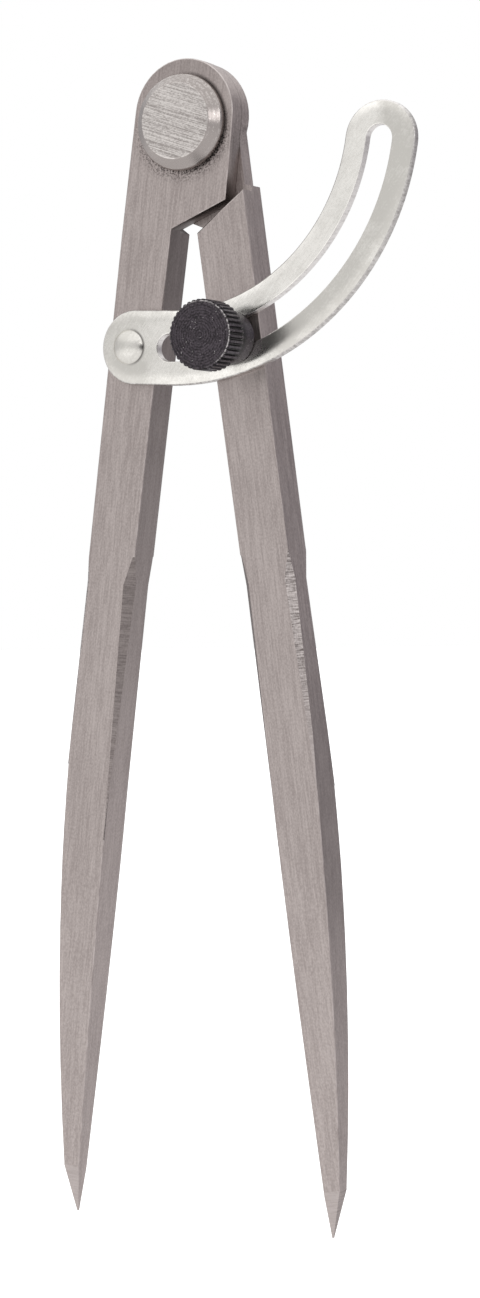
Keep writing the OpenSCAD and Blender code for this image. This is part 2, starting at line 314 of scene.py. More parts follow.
@dataclass(frozen=True)
class GroundSteel:
    """Bare steel of a leg, ground along it or across it, with grime round the hinge, painted shadow beside
    the disc and under the arc's seat, and painted shade on the outer side.
    """

    name: str
    grain: Grain
    lean: float
    dark: Colour = (0.365, 0.315, 0.302, 1.0)
    light: Colour = (0.525, 0.465, 0.446, 1.0)
    # The colour of grime, and of painted shade wherever this finish paints shade.
    grime_and_shade: Colour = (0.05, 0.042, 0.04, 1.0)
    tones: Span = (0.41, 0.59)
    rough: float = 0.42
    rough_spread: float = 0.07
    relief: float = 0.014
    grit_size: Triple = (0.26, 0.26, 0.4)
    cloud_size: Triple = (5.0, 5.0, 12.0)
    # A tint that grows from one height to another: painted shade on the inner sides and the inward
    # chamfers, grime and painted shade on the laps, and a fade to even grey on the lit chamfers.
    stain_and_shade: float = 0.0
    stain_and_shade_from: float = -26.0
    stain_and_shade_to: float = -95.0
    # Painted shade on the outer side, where outward is that side's sign along X, or 0 for none.
    outward: float = 0.0
    flank: float = 0.22
    flank_facing: Span = (0.6, 0.8)
    flank_top: Span = (-85.0, -105.0)
    flank_end: Span = (-145.0, -130.0)
    flank_rest: float = 0.2
    # Grime specks round the disc and a dark seam between the laps; painted shadow in the disc's right
    # corner and under the arc's seat, where there is grime too; darker towards the top of the head.
    disc_r: float = DISC_R
    arc_r: float = ARC_R
    ring_w: float = 2.4
    ring_top: Span = (3.0, -4.0)
    speck_size: float = 0.33
    specks: Span = (0.47, 0.58)
    corner_w: float = 0.6
    corner_side: Span = (-1.0, 5.0)
    seam_depth: Span = (0.4, 0.1)
    seam_r: Span = (11.0, 9.0)
    seat_half: float = 3.5
    seat_side: Span = (3.0, 1.0)
    face_depth: Span = (3.0, 3.3)
    crown_z: Span = (4.0, 9.0)

    def flank_shade(self, recipe: Recipe) -> Socket:
        """Marks the painted shade along the middle of a leg's outer side.

        Args:
            recipe: The steel's recipe.

        Returns:
            The share of painted shade.
        """
        normal = recipe.node("ShaderNodeTexCoord", {}).outputs["Normal"]
        facing = recipe.node("ShaderNodeSeparateXYZ", {0: normal}).outputs["X"]
        side = recipe.fit(recipe.product(facing, self.outward), *self.flank_facing, 0.0, self.flank)
        upper = recipe.fit(recipe.along("Z"), *self.flank_top)
        lower = recipe.fit(recipe.along("Z"), *self.flank_end, self.flank_rest, 1.0)
        return recipe.product(side, upper, lower)

    def dirt_and_shade(self, recipe: Recipe) -> Socket:
        """Marks grime round the disc and between the laps, painted shadow beside the disc and under the
        arc, and a darker head top.

        Args:
            recipe: The steel's recipe.

        Returns:
            The share of grime and painted shade.
        """
        far = recipe.radius(HINGE_AXIS)
        across, back, up = (recipe.along(axis) for axis in "XYZ")
        depth = recipe.compute("ABSOLUTE", back)
        ring = recipe.fit(far, self.disc_r + self.ring_w, self.disc_r)
        speck = recipe.blots(self.speck_size, 3.0, 0.65)
        below = recipe.fit(up, *self.ring_top)
        specks = recipe.product(ring, below, recipe.fit(speck, *self.specks))
        right = recipe.fit(across, *self.corner_side)
        corner = recipe.product(recipe.fit(far, self.disc_r + self.corner_w, self.disc_r), right)
        seam = recipe.product(recipe.fit(depth, *self.seam_depth), recipe.fit(far, *self.seam_r))
        inside, surface = self.face_depth
        front = recipe.fit(back, -inside, -surface)
        left = recipe.fit(across, *self.seat_side)
        seat = recipe.product(recipe.band(far, self.arc_r, self.seat_half), left, front)
        crown = recipe.product(recipe.fit(up, *self.crown_z), recipe.fit(depth, inside, surface))
        return recipe.sum((specks, 0.9), (corner, 0.8), (seam, 0.8), (seat, 0.38), (crown, 0.18))

    def material(self) -> Material:
        """Makes the steel's material.

        Returns:
            The material.
        """
        recipe = Recipe(self.name)
        strokes = self.grain.value
        fine = recipe.blots(strokes.fine, strokes.detail, 0.6, self.lean)
        broad = recipe.blots(strokes.broad, turn=self.lean)
        grit = recipe.blots(self.grit_size, turn=self.lean)
        cloud = recipe.blots(self.cloud_size, 3.0, turn=self.lean)
        tone = recipe.sum((fine, strokes.lines), (broad, 0.15), (grit, strokes.grit), (cloud, 0.1))
        colour = recipe.blend(recipe.fit(tone, *self.tones), self.dark, self.light)
        # Painted shade that grows with height, with grime in it on the laps.
        if self.stain_and_shade > 0.0:
            near = recipe.fit(recipe.along("Z"), self.stain_and_shade_to, self.stain_and_shade_from, 0.0, self.stain_and_shade)
            colour = recipe.blend(near, colour, self.grime_and_shade)
        # Painted shade along the outer side.
        if self.outward:
            colour = recipe.blend(self.flank_shade(recipe), colour, self.grime_and_shade)
        # Grime and painted shadow from the disc, the laps' seam and the arc's seat.
        dirt_and_shade = self.dirt_and_shade(recipe)
        colour = recipe.blend(dirt_and_shade, colour, self.grime_and_shade)
        low, high = self.rough - self.rough_spread, self.rough + self.rough_spread
        rough = recipe.sum((recipe.fit(fine, *NOISE_SPAN, low, high), 1.0), (dirt_and_shade, 0.3))
        height = recipe.sum((fine, 0.6), (broad, 0.2), (grit, 0.2))
        return recipe.finish(colour, rough, height, self.relief)


@dataclass(frozen=True)
class WornEdge:
    """The rubbed steel of a leg's rounded edges, brighter round the hinge."""

    name: str
    dark: Colour = (0.37, 0.32, 0.307, 1.0)
    light: Colour = (0.55, 0.492, 0.473, 1.0)
    bright: Colour = (0.86, 0.81, 0.79, 1.0)
    blot_size: Triple = (0.8, 0.8, 2.5)
    tones: Span = (0.35, 0.65)
    head_z: Span = (0.0, 7.0)
    head_share: float = 0.3
    rough: Span = (0.45, 0.33)
    relief: float = 0.008

    def material(self) -> Material:
        """Makes the edge's material.

        Returns:
            The material.
        """
        recipe = Recipe(self.name)
        blot = recipe.blots(self.blot_size, 4.0, 0.6)
        colour = recipe.blend(recipe.fit(blot, *self.tones), self.dark, self.light)
        by_hinge = recipe.fit(recipe.along("Z"), *self.head_z, 0.0, self.head_share)
        colour = recipe.blend(by_hinge, colour, self.bright)
        rough = recipe.fit(blot, *NOISE_SPAN, *self.rough)
        return recipe.finish(colour, rough, blot, self.relief)


@dataclass(frozen=True)
class FacedSteel:
    """Steel of the hinge discs: brushed straight across the flat, turned on the rim."""

    name: str = "faced_steel"
    dark: Colour = (0.36, 0.325, 0.31, 1.0)
    light: Colour = (0.8, 0.755, 0.725, 1.0)
    tones: Span = (0.41, 0.57)
    brush_turn: float = 19.0
    line_size: Triple = (9.0, 0.3, 0.11)
    grit_size: Triple = (0.35, 0.35, 0.2)
    rings_per_mm: float = 6.0
    speck_size: float = 0.4
    turned: Span = (0.32, 0.52)
    rim_tones: Span = (0.33, 0.47)
    face_r: float = DISC_FACE_R
    border: Span = (0.05, 0.1)
    rough: Span = (0.38, 0.3)
    rim_shine: float = 0.1
    relief: float = 0.016

    def material(self) -> Material:
        """Makes the disc's material.

        Returns:
            The material.
        """
        recipe = Recipe(self.name)
        lines = recipe.blots(self.line_size, 3.0, 0.7, self.brush_turn)
        grit = recipe.blots(self.grit_size, turn=self.brush_turn)
        brush = recipe.sum((lines, 0.7), (grit, 0.3))
        far = recipe.radius(HINGE_AXIS)
        rings = recipe.node("ShaderNodeCombineXYZ", {
            "X": recipe.product(far, self.rings_per_mm),
            "Y": recipe.product(recipe.along("Y"), self.rings_per_mm),
        })
        speck = recipe.blots(self.speck_size, 3.0, 0.6)
        circles = recipe.noise(rings.outputs["Vector"], 2.0, 0.5)
        # The rim's tone also rises with height: painted light above and painted shade below.
        turned = recipe.sum((circles, 0.3), (speck, 0.4), (far, 0.01), (recipe.along("Z"), 0.006))
        turned = recipe.fit(turned, *self.turned, *self.rim_tones)
        on_rim = recipe.fit(far, self.face_r - self.border[0], self.face_r + self.border[1])
        grain = recipe.node("ShaderNodeMix", {0: on_rim, 2: brush, 3: turned}).outputs[0]
        colour = recipe.blend(recipe.fit(grain, *self.tones), self.dark, self.light)
        rough = recipe.sum((recipe.fit(grain, *NOISE_SPAN, *self.rough), 1.0), (on_rim, -self.rim_shine))
        return recipe.finish(colour, rough, grain, self.relief)


@dataclass(frozen=True)
class BrightPlate:
    """Bright plating with a soft, uneven shine, with painted light on the inner strip and painted shade on
    the outer strip and the tab.
    """

    name: str
    rivet: Spot
    dark: Colour = (0.66, 0.64, 0.6, 1.0)
    light: Colour = (0.97, 0.945, 0.9, 1.0)
    grime_and_shade: Colour = (0.12, 0.11, 0.105, 1.0)
    tones: Span = (0.28, 0.67)
    cloud_size: float = 3.5
    peel_size: float = 0.4
    scuff_size: Triple = (0.25, 0.5, 4.0)
    scuff_turn: float = 38.0
    arc_r: float = ARC_R
    # Painted light on the inner strip and painted shade on the outer strip, towards the far end; painted
    # shade on the tab, deeper towards its end and lower down.
    strip_fade: float = 1.0
    inner_light: float = 0.095
    outer_shade: float = 0.19
    strip_shading_x: Span = (9.0, 19.0)
    tab_shade: float = 0.17
    tab_x: Span = (-2.0, -10.0)
    low_run: float = 4.0
    low_gain: float = 1.4
    button_r: float = BUTTON_R
    # The painted shadow in the corner to the right of the rivet's head.
    corner_soft: Span = (0.12, 0.02)
    corner_w: float = 0.4
    corner_side: Span = (0.5, 2.0)
    corner_dark: float = 0.9
    shine: Span = (0.35, 0.65)
    rough: Span = (0.3, 0.18)
    relief: float = 0.02

    def corner(self, recipe: Recipe) -> Socket:
        """Marks the painted shadow in the corner to the right of the rivet's head.

        Args:
            recipe: The plating's recipe.

        Returns:
            The share of painted shadow.
        """
        far = recipe.radius(self.rivet)
        under, edge = self.corner_soft
        inner = recipe.fit(far, self.button_r - under, self.button_r - edge)
        outer = recipe.fit(far, self.button_r + self.corner_w, self.button_r)
        low, high = self.rivet[0] - self.corner_side[0], self.rivet[0] + self.corner_side[1]
        right = recipe.fit(recipe.along("X"), low, high, 0.0, self.corner_dark)
        return recipe.product(inner, outer, right)

    def material(self) -> Material:
        """Makes the plating's material.

        Returns:
            The material.
        """
        recipe = Recipe(self.name)
        cloud = recipe.blots(self.cloud_size, 4.0, 0.55)
        peel = recipe.blots(self.peel_size)
        scuff = recipe.blots(self.scuff_size, 2.0, 0.6, self.scuff_turn)
        far = recipe.radius(HINGE_AXIS)
        inner, outer = self.arc_r - self.strip_fade, self.arc_r + self.strip_fade
        # Painted light on the inner strip, painted shade on the outer strip.
        strip = recipe.fit(far, inner, outer, self.inner_light, -self.outer_shade)
        strip = recipe.product(strip, recipe.fit(recipe.along("X"), *self.strip_shading_x))
        # Painted shade on the tab.
        tab = recipe.fit(recipe.along("X"), *self.tab_x, 0.0, -self.tab_shade)
        rivet_z = self.rivet[1]
        low = recipe.fit(recipe.along("Z"), rivet_z, rivet_z - self.low_run, 1.0, self.low_gain)
        tab = recipe.product(tab, low)
        tone = recipe.sum((cloud, 0.45), (scuff, 0.25), (peel, 0.3), (strip, 1.0), (tab, 1.0))
        colour = recipe.blend(recipe.fit(tone, *self.tones), self.dark, self.light)
        # Painted shadow to the right of the rivet's head.
        colour = recipe.blend(self.corner(recipe), colour, self.grime_and_shade)
        rough = recipe.fit(tone, *self.shine, *self.rough)
        height = recipe.sum((cloud, 0.9), (peel, 0.1))
        return recipe.finish(colour, rough, height, self.relief)


@dataclass(frozen=True)
class ShearedEdge:
    """Plating on the cut edges of the arc, darker as painted shade, and lighter in its slot."""

    name: str = "sheared_edge"
    dark: Colour = (0.38, 0.364, 0.348, 1.0)
    light: Colour = (0.8, 0.775, 0.755, 1.0)
    arc_r: float = ARC_R
    slot_w: float = SLOT_W
    tear_size: Triple = (0.5, 1.5, 0.5)
    tear_share: float = 0.8
    slot_share: float = 0.6
    rough: Span = (0.45, 0.32)
    relief: float = 0.02

    def material(self) -> Material:
        """Makes the cut edge's material.

        Returns:
            The material.
        """
        recipe = Recipe(self.name)
        tears = recipe.blots(self.tear_size, 3.0, 0.6)
        in_slot = recipe.band(recipe.radius(HINGE_AXIS), self.arc_r, self.slot_w)
        torn = recipe.fit(tears, *NOISE_SPAN, 0.0, self.tear_share)
        # The edges' darker tone is painted shade, lighter in the slot.
        colour = recipe.blend(recipe.sum((torn, 1.0), (in_slot, self.slot_share)), self.dark, self.light)
        rough = recipe.fit(tears, *NOISE_SPAN, *self.rough)
        return recipe.finish(colour, rough, tears, self.relief)


@dataclass(frozen=True)
class BlackOxide:
    """Black oxide over turned steel, speckled, with painted shade in the knurl's grooves and neck, and
    rubbed bright on the knurl's front edge, most on the upper right as a painted highlight.
    """

    name: str
    centre: Spot
    groove_r: float
    head: float
    front: float
    dark: Colour = (0.0125, 0.0095, 0.012, 1.0)
    light: Colour = (0.069, 0.056, 0.067, 1.0)
    bare: Colour = (0.62, 0.59, 0.58, 1.0)
    pitch_black: Colour = (0.004, 0.0035, 0.004, 1.0)
    tones: Span = (0.4, 0.62)
    grit_size: float = 0.28
    cloud_size: float = 1.6
    turning: float = 14.0
    chip_size: float = 0.5
    chips: Span = (0.43, 0.55)
    dust_size: float = 0.35
    dust: Span = (0.72, 0.76)
    dust_share: float = 0.5
    groove_rise: Span = (0.3, 0.05)
    face_edge: Span = (0.1, 0.25)
    head_edge: float = 0.1
    neck_from: float = 7.7
    neck_run: float = 0.9
    shine: Span = (0.35, 0.65)
    rough: Span = (0.5, 0.36)
    relief: float = 0.014
    metallic: float = 0.55

    def recess(self, recipe: Recipe) -> Socket:
        """Marks the painted shade in the grooves of the knurl and on the neck behind it.

        Args:
            recipe: The finish's recipe.

        Returns:
            The share of painted shade.
        """
        forward = recipe.product(recipe.along("Y"), -1.0)
        crest, floor = self.groove_rise
        low = recipe.fit(recipe.radius(self.centre), self.groove_r + crest, self.groove_r + floor)
        side = recipe.fit(forward, self.front - self.face_edge[0], self.front - self.face_edge[1])
        on_head = recipe.fit(forward, self.head - self.head_edge, self.head)
        groove = recipe.product(low, side, on_head)
        neck = recipe.fit(forward, self.neck_from, self.neck_from + self.neck_run)
        neck = recipe.product(neck, recipe.fit(forward, self.head, self.head - self.head_edge))
        return recipe.sum((groove, 0.85), (neck, 0.8))

    def material(self) -> Material:
        """Makes the blackened material.

        Returns:
            The material.
        """
        recipe = Recipe(self.name)
        grit = recipe.blots(self.grit_size, 3.0, 0.7)
        cloud = recipe.blots(self.cloud_size, 3.0)
        rings = recipe.compute("SINE", recipe.product(recipe.radius(self.centre), self.turning))
        tone = recipe.sum((grit, 0.8), (cloud, 0.2), (rings, 0.05))
        colour = recipe.blend(recipe.fit(tone, *self.tones), self.dark, self.light)
        # Painted shade in the knurl's grooves and on its neck.
        colour = recipe.blend(self.recess(recipe), colour, self.pitch_black)
        rub = recipe.node("ShaderNodeAttribute", {}, attribute_name=WEAR_AND_GLINT_LAYER).outputs["Fac"]
        chip = recipe.blots(self.chip_size, 3.0, 0.6)
        # The rubbed rim: wear, weighted to the upper right as a painted highlight.
        colour = recipe.blend(recipe.product(rub, recipe.fit(chip, *self.chips)), colour, self.bare)
        dust = recipe.fit(recipe.blots(self.dust_size, 1.0), *self.dust, 0.0, self.dust_share)
        colour = recipe.blend(dust, colour, self.bare)
        rough = recipe.fit(tone, *self.shine, *self.rough)
        height = recipe.sum((rings, 0.4), (grit, 0.6))
        return recipe.finish(colour, rough, height, self.relief, self.metallic)


@dataclass(frozen=True)
class ThreadSteel:
    """Plain machined steel of the clamp stud, oily in its thread."""

    name: str = "thread_steel"
    dark: Colour = (0.1, 0.095, 0.09, 1.0)
    light: Colour = (0.34, 0.33, 0.32, 1.0)
    tones: Span = (0.35, 0.65)
    oil_size: float = 0.6
    cut_size: Triple = (0.5, 0.08, 0.5)
    rough: Span = (0.26, 0.45)
    relief: float = 0.006

    def material(self) -> Material:
        """Makes the stud's material.

        Returns:
            The material.
        """
        recipe = Recipe(self.name)
        oil = recipe.blots(self.oil_size, 4.0, 0.6)
        colour = recipe.blend(recipe.fit(oil, *self.tones), self.dark, self.light)
        rough = recipe.fit(oil, *NOISE_SPAN, *self.rough)
        return recipe.finish(colour, rough, recipe.blots(self.cut_size), self.relief)


def add_object(name: str, data: Any) -> bpy.types.Object:
    """Puts a new object in the scene.

    Args:
        name: The object's name.
        data: Its mesh, light or camera.

    Returns:
        The object.
    """
    thing = bpy.data.objects.new(name, data)
    bpy.context.scene.collection.objects.link(thing)
    return thing


def add_piece(
    name: str, mesh: Mesh, finishes: Sequence[Material], node: str, body: str
) -> Piece:
    """Puts a mesh in the scene as the piece that stands for a CAD node.

    Args:
        name: The piece's name.
        mesh: Its mesh, in the frame's own place.
        finishes: Its materials, in the order of the mesh's material numbers.
        node: The CAD node that it stands for.
        body: The body that it moves with.

    Returns:
        The piece.
    """
    for finish in finishes:
        mesh.materials.append(finish)
    piece = add_object(name, mesh)
    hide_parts(node)
    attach(piece, body)
    return piece


def even_normals(piece: Piece) -> Piece:
    """Keeps a piece's flat faces flat in the shading beside rounded edges, and gives it back."""
    piece.modifiers.new("even_normals", "WEIGHTED_NORMAL").keep_sharp = True
    return piece


def whole_faces(node: bpy.types.Object) -> bmesh.types.BMesh:
    """Copies a CAD node's mesh and joins its triangles back into whole faces.

    Args:
        node: The CAD node.

    Returns:
        The copy, for editing.
    """
    bm = bmesh.new()
    bm.from_mesh(node.data)
    bmesh.ops.remove_doubles(bm, verts=bm.verts[:], dist=WELD)
    bmesh.ops.dissolve_limit(bm, angle_limit=FLAT, verts=bm.verts[:], edges=bm.edges[:])
    return bm


def finished_mesh(bm: bmesh.types.BMesh, name: str) -> Mesh:
    """Turns a mesh that was being edited into one for the scene.

    Args:
        bm: The edited mesh, which is freed.
        name: The new mesh's name.

    Returns:
        The new mesh.
    """
    mesh = bpy.data.meshes.new(name)
    bm.to_mesh(mesh)
    bm.free()
    return mesh


def shade_round(mesh: Mesh, sharp: float) -> Mesh:
    """Shades a mesh smooth.

    Args:
        mesh: The mesh.
        sharp: The angle from which an edge stays sharp.

    Returns:
        The same mesh.
    """
    mesh.shade_smooth()
    mesh.set_sharp_from_angle(angle=math.radians(sharp))
    return mesh


def softened(corners: Sequence[Triple], steps: int = 5) -> list[Spot]:
    """Rounds the inner corners of an open profile.

    Args:
        corners: Each corner's radius from the axis, its distance forward and its rounding.
        steps: The number of stretches along each rounded corner.

    Returns:
        The points of the rounded profile.
    """
    points: list[Spot] = []
    last = len(corners) - 1
    for i, (across, forward, rounding) in enumerate(corners):
        here = Vector((across, forward))
        if i in (0, last) or rounding <= 0.0:
            points.append((across, forward))
            continue
        to_prev = (Vector(corners[i - 1][:2]) - here).normalized()
        to_next = (Vector(corners[i + 1][:2]) - here).normalized()
        start = here + to_prev * rounding
        end = here + to_next * rounding
        for k in range(steps + 1):
            t = k / steps
            curve = start * (1 - t) ** 2 + here * (2 * t * (1 - t)) + end * t ** 2
            points.append((curve.x, curve.y))
    return points


def swing(centre: Sequence[float], reach: float, turn: float) -> Vector:
    """Gives the X and Z at a reach from a centre and a turn, in radians, from straight down."""
    return Vector(centre) + Vector((math.sin(turn), -math.cos(turn))) * reach


def axis_of(box: Box) -> Spot:
    """Gives the X and Z of the middle of a box that is in metres."""
    middle = (box[0] + box[1]) / 2 / MM
    return middle.x, middle.z


def outward_from_tool(azimuth: float, elevation: float) -> Vector:
    """Gives the direction away from the tool, by angles to the right of its front and up."""
    az, el = math.radians(azimuth), math.radians(elevation)
    return Vector((math.sin(az) * math.cos(el), -math.cos(az) * math.cos(el), math.sin(el)))


@dataclass(frozen=True)
class Lathe:
    """Turns a profile about an axis that runs forward, along -Y."""

    centre: Spot
    segments: int = 144

    def turns(self) -> list[float]:
        """Gives the turn of each point of a ring, in radians from straight down."""
        return [2 * math.pi * i / self.segments for i in range(self.segments)]

    def spot(self, across: float, forward: float, turn: float) -> Vector:
        """Gives a point at a radius, a distance forward and a turn from straight down."""
        x = self.centre[0] + across * math.sin(turn)
        z = self.centre[1] - across * math.cos(turn)
        return Vector((x, -forward, z)) * MM

    def turn(
        self,
        name: str,
        profile: Sequence[Spot],
        shape: Callable[[float, float], float] = lambda across, turn: across,
        sharp: float = 30.0,
    ) -> Mesh:
        """Makes a turned mesh, closed at both ends or round its bore.

        Args:
            name: The mesh's name.
            profile: Radius and forward distance of each ring, going forward along the outside.
            shape: Changes a ring's radius by its turn, as a knurl does.
            sharp: The angle from which an edge shades sharp.

        Returns:
            The mesh.
        """
        bm = bmesh.new()
        rings = []
        for across, forward in profile:
            if across <= 0.0:
                rings.append([bm.verts.new(self.spot(0.0, forward, 0.0))])
                continue
            rings.append([bm.verts.new(self.spot(shape(across, t), forward, t)) for t in self.turns()])
        closed = profile[0] == profile[-1]
        if closed:
            bmesh.ops.delete(bm, geom=rings.pop(), context="VERTS")
        pairs = list(zip(rings, rings[1:] + rings[:1]))
        for low, high in pairs if closed else pairs[:-1]:
            for i in range(self.segments):
                j = (i + 1) % self.segments
                loop = [low[i % len(low)], low[j % len(low)], high[j % len(high)], high[i % len(high)]]
                bm.faces.new(list(dict.fromkeys(loop)))
        bmesh.ops.recalc_face_normals(bm, faces=bm.faces[:])
        return shade_round(finished_mesh(bm, name), sharp)


@dataclass
class Leg:
    """One ground leg, with its lap, chamfers and point."""

    side: Side
    half_open: float = 7.55
    thick: float = LEG_T
    reach: float = 190.3
    point: float = 8.0
    tip: float = 1.2
    chamfer_top: float = 74.0
    chamfer_bottom: float = 125.0
    lap_top: float = 2.0
    lap_bottom: float = 40.0
    hinge_clear: float = 6.0
    edge_round: float = 0.2
    edge_steps: int = 3
    point_round: float = 0.08
    slack: float = 0.1
    smooth_turn: float = 12.0
    # How far a face's direction goes along another to count as facing it, slanting or a step.
    facing: float = 0.5
    slanting: float = 0.35
    stepping: float = 0.3

    def node(self) -> str:
        """Names the CAD node."""
        return self.side.name.lower() + "_leg"

    def body(self) -> str:
        """Names the body that the leg belongs to."""
        return self.side.name.lower() + "_side"

    def lean(self) -> float:
        """Gives the leg's turn about Y from upright."""
        return -self.side.value * self.half_open

    def axes(self) -> tuple[Vector, Vector]:
        """Finds which way the leg lies.

        Returns:
            The directions down along the leg and out from it.
        """
        a = math.radians(self.half_open)
        sign = self.side.value
        down = Vector((sign * math.sin(a), 0.0, -math.cos(a)))
        out = Vector((sign * math.cos(a), 0.0, math.sin(a)))
        return down, out

    def cut(self, face: bmesh.types.BMFace) -> Cut:
        """Tells a leg's kinds of face apart.

        Args:
            face: A face of the leg.

        Returns:
            The kind of face.
        """
        down, out = self.axes()
        depth = (face.calc_center_median() / MM).dot(down)
        outward = face.normal.dot(out)
        is_front = abs(face.normal.y) > self.facing
        if depth > self.reach - self.point:
            return Cut.POINT if is_front else Cut.HOLLOW
        is_slanted = min(abs(outward), abs(face.normal.y)) > self.slanting
        if is_slanted and self.chamfer_top < depth < self.chamfer_bottom:
            # Chamfers facing in take the darker finish as painted shade, those facing out the lighter one
            # as painted light.
            return Cut.HOLLOW if outward < 0.0 else Cut.SCRAPED
        if is_front or depth < self.lap_top:
            return Cut.BAR
        is_inner = outward < -self.facing
        is_step = abs(face.normal.dot(down)) > self.stepping
        if depth < self.lap_bottom and (is_inner or is_step):
            return Cut.LAP
        return Cut.INNER if is_inner else Cut.BAR

    def is_smooth(self, edge: bmesh.types.BMEdge) -> bool:
        """Tells whether an edge turns too little to be seen as one."""
        return edge.calc_face_angle(0.0) < math.radians(self.smooth_turn)

    def kinds(self, edge: bmesh.types.BMEdge) -> set[Cut]:
        """Gives the kinds of face that meet at an edge."""
        return {self.cut(face) for face in edge.link_faces}

    def rounding(self, edge: bmesh.types.BMEdge) -> float:
        """Chooses how far an edge is rounded.

        Args:
            edge: An edge of the leg.

        Returns:
            The radius.
        """
        down, _ = self.axes()
        ends = [v.co / MM for v in edge.verts]
        lowest = max(p.dot(down) for p in ends)
        if self.is_smooth(edge) or lowest > self.reach - self.tip:
            return 0.0
        if lowest > self.reach - self.point - self.slack:
            return self.point_round
        outside = min(abs(p.y) for p in ends) > self.thick / 2 - self.slack
        by_hinge = max(math.hypot(p.x, p.z) for p in ends) < self.hinge_clear
        in_lap = lowest < self.lap_bottom and not outside
        by_chamfer = bool(self.kinds(edge) & {Cut.HOLLOW, Cut.SCRAPED})
        return 0.0 if by_chamfer or by_hinge or in_lap else self.edge_round

    def finishes(self) -> list[Material]:
        """Makes the leg's materials, in the order of their slots.

        Returns:
            The materials.
        """
        name, lean = self.node(), self.lean()
        # The bar's outer side gets painted shade along its middle.
        bar = GroundSteel(name + "_bar", Grain.ALONG, lean, outward=self.side.value)
        # The inward chamfers and the points' sides are a darker copy of the steel, painted shade that
        # deepens towards the chamfer's top; the outward chamfers are a lighter copy, painted light, fading
        # to even grey towards the point.
        hollow = GroundSteel(
            name + "_hollow", Grain.ACROSS, lean, rough=0.46,
            dark=(0.27, 0.233, 0.224, 1.0), light=(0.46, 0.405, 0.39, 1.0),
            stain_and_shade=0.36, stain_and_shade_from=-97.0, stain_and_shade_to=-118.0,
        )
        lit_chamfer = GroundSteel(
            name + "_scraped", Grain.ACROSS, lean, rough=0.46,
            dark=(0.17, 0.146, 0.139, 1.0), light=(0.66, 0.605, 0.585, 1.0),
            stain_and_shade=0.9, stain_and_shade_from=-110.0, stain_and_shade_to=-90.0, grime_and_shade=(0.48, 0.427, 0.411, 1.0),
        )
        point = GroundSteel(
            name + "_point", Grain.ACROSS, lean, rough=0.46,
            dark=(0.42, 0.37, 0.355, 1.0), light=(0.52, 0.465, 0.45, 1.0),
        )
        # The inner side darkens towards the hinge: painted shade.
        inner = GroundSteel(name + "_inner", Grain.ALONG, lean, stain_and_shade=0.5, stain_and_shade_to=-122.0)
        # The laps darken below the head: grime and painted shade.
        lap = GroundSteel(name + "_lap", Grain.ALONG, lean, stain_and_shade=0.85, stain_and_shade_from=-20.0, stain_and_shade_to=2.0)
        edge = WornEdge(name + "_edge")
        return [finish.material() for finish in (bar, hollow, lit_chamfer, point, inner, lap, edge)]

    def round_edges(self, piece: Piece) -> None:
        """Rounds the leg's edges by the weights that they carry.

        Args:
            piece: The leg's piece.
        """
        rounding = piece.modifiers.new("rounded_edges", "BEVEL")
        rounding.limit_method = "WEIGHT"
        rounding.width = self.edge_round * MM
        rounding.segments = self.edge_steps
        rounding.use_clamp_overlap = False
        rounding.material = Cut.EDGE.value

    def build(self, frame: dict[str, Any]) -> Piece:
        """Makes the leg.

        Args:
            frame: The loaded frame.

        Returns:
            The piece.
        """
        node = self.node()
        bm = whole_faces(frame["nodes"][node])
        weights = bm.edges.layers.float.new("bevel_weight_edge")
        for face in bm.faces:
            face.smooth = True
            face.material_index = self.cut(face).value
        for edge in bm.edges:
            radius = self.rounding(edge)
            edge[weights] = radius / self.edge_round
            is_flat = len(self.kinds(edge)) == 1 and self.is_smooth(edge)
            edge.smooth = radius > 0.0 or is_flat
        mesh = finished_mesh(bm, node + "_mesh")
        piece = add_piece("ground_" + node, mesh, self.finishes(), node, self.body())
        self.round_edges(piece)
        return even_normals(piece)


@dataclass
class Hinge:
    """The hinge rivet with its wide head, and the disc behind that its tail is flared into."""

    leg_face: float = LEG_FACE
    shank_r: float = 4.0
    rim_r: float = DISC_R
    face_r: float = DISC_FACE_R
    rim_h: float = 1.1
    disc_h: float = 2.8
    tail_flare: float = 0.9
    soft: float = 0.18

    def rivet_profile(self) -> list[Spot]:
        """Draws the rivet's section.

        Returns:
            Its points, from the tail's middle round to the middle of the head.
        """
        face = self.leg_face + self.disc_h
        return softened([
            (0.0, -face, 0.0),
            (self.shank_r + self.tail_flare, -face, self.soft / 2),
            (self.shank_r, self.tail_flare - face, 0.0),
            (self.shank_r, self.leg_face, 0.0),
            (self.rim_r, self.leg_face, self.soft),
            (self.rim_r, self.leg_face + self.rim_h, 2 * self.soft),
            (self.face_r, face, self.soft),
            (0.0, face, 0.0),
        ])

    def washer_profile(self) -> list[Spot]:
        """Draws the rear disc's section.

        Returns:
            Its points, once round.
        """
        face = self.leg_face + self.disc_h
        return softened([
            (self.shank_r, -self.leg_face, 0.0),
            (self.shank_r, self.tail_flare - face, 0.0),
            (self.shank_r + self.tail_flare, -face, self.soft / 2),
            (self.face_r, -face, self.soft),
            (self.rim_r, -self.leg_face - self.rim_h, 2 * self.soft),
            (self.rim_r, -self.leg_face, self.soft),
            (self.shank_r, -self.leg_face, 0.0),
        ])

    def build(self) -> list[Piece]:
        """Makes the rivet and the rear disc.

        Returns:
            The two pieces.
        """
        finish = FacedSteel().material()
        lathe = Lathe(HINGE_AXIS)
        pieces = []
        for name, node, profile in (
            ("faced_hinge_rivet", "pivot_rivet", self.rivet_profile()),
            ("faced_rear_disc", "pivot_washer", self.washer_profile()),
        ):
            mesh = lathe.turn(name, profile)
            pieces.append(even_normals(add_piece(name, mesh, [finish], node, "left_side")))
        return pieces


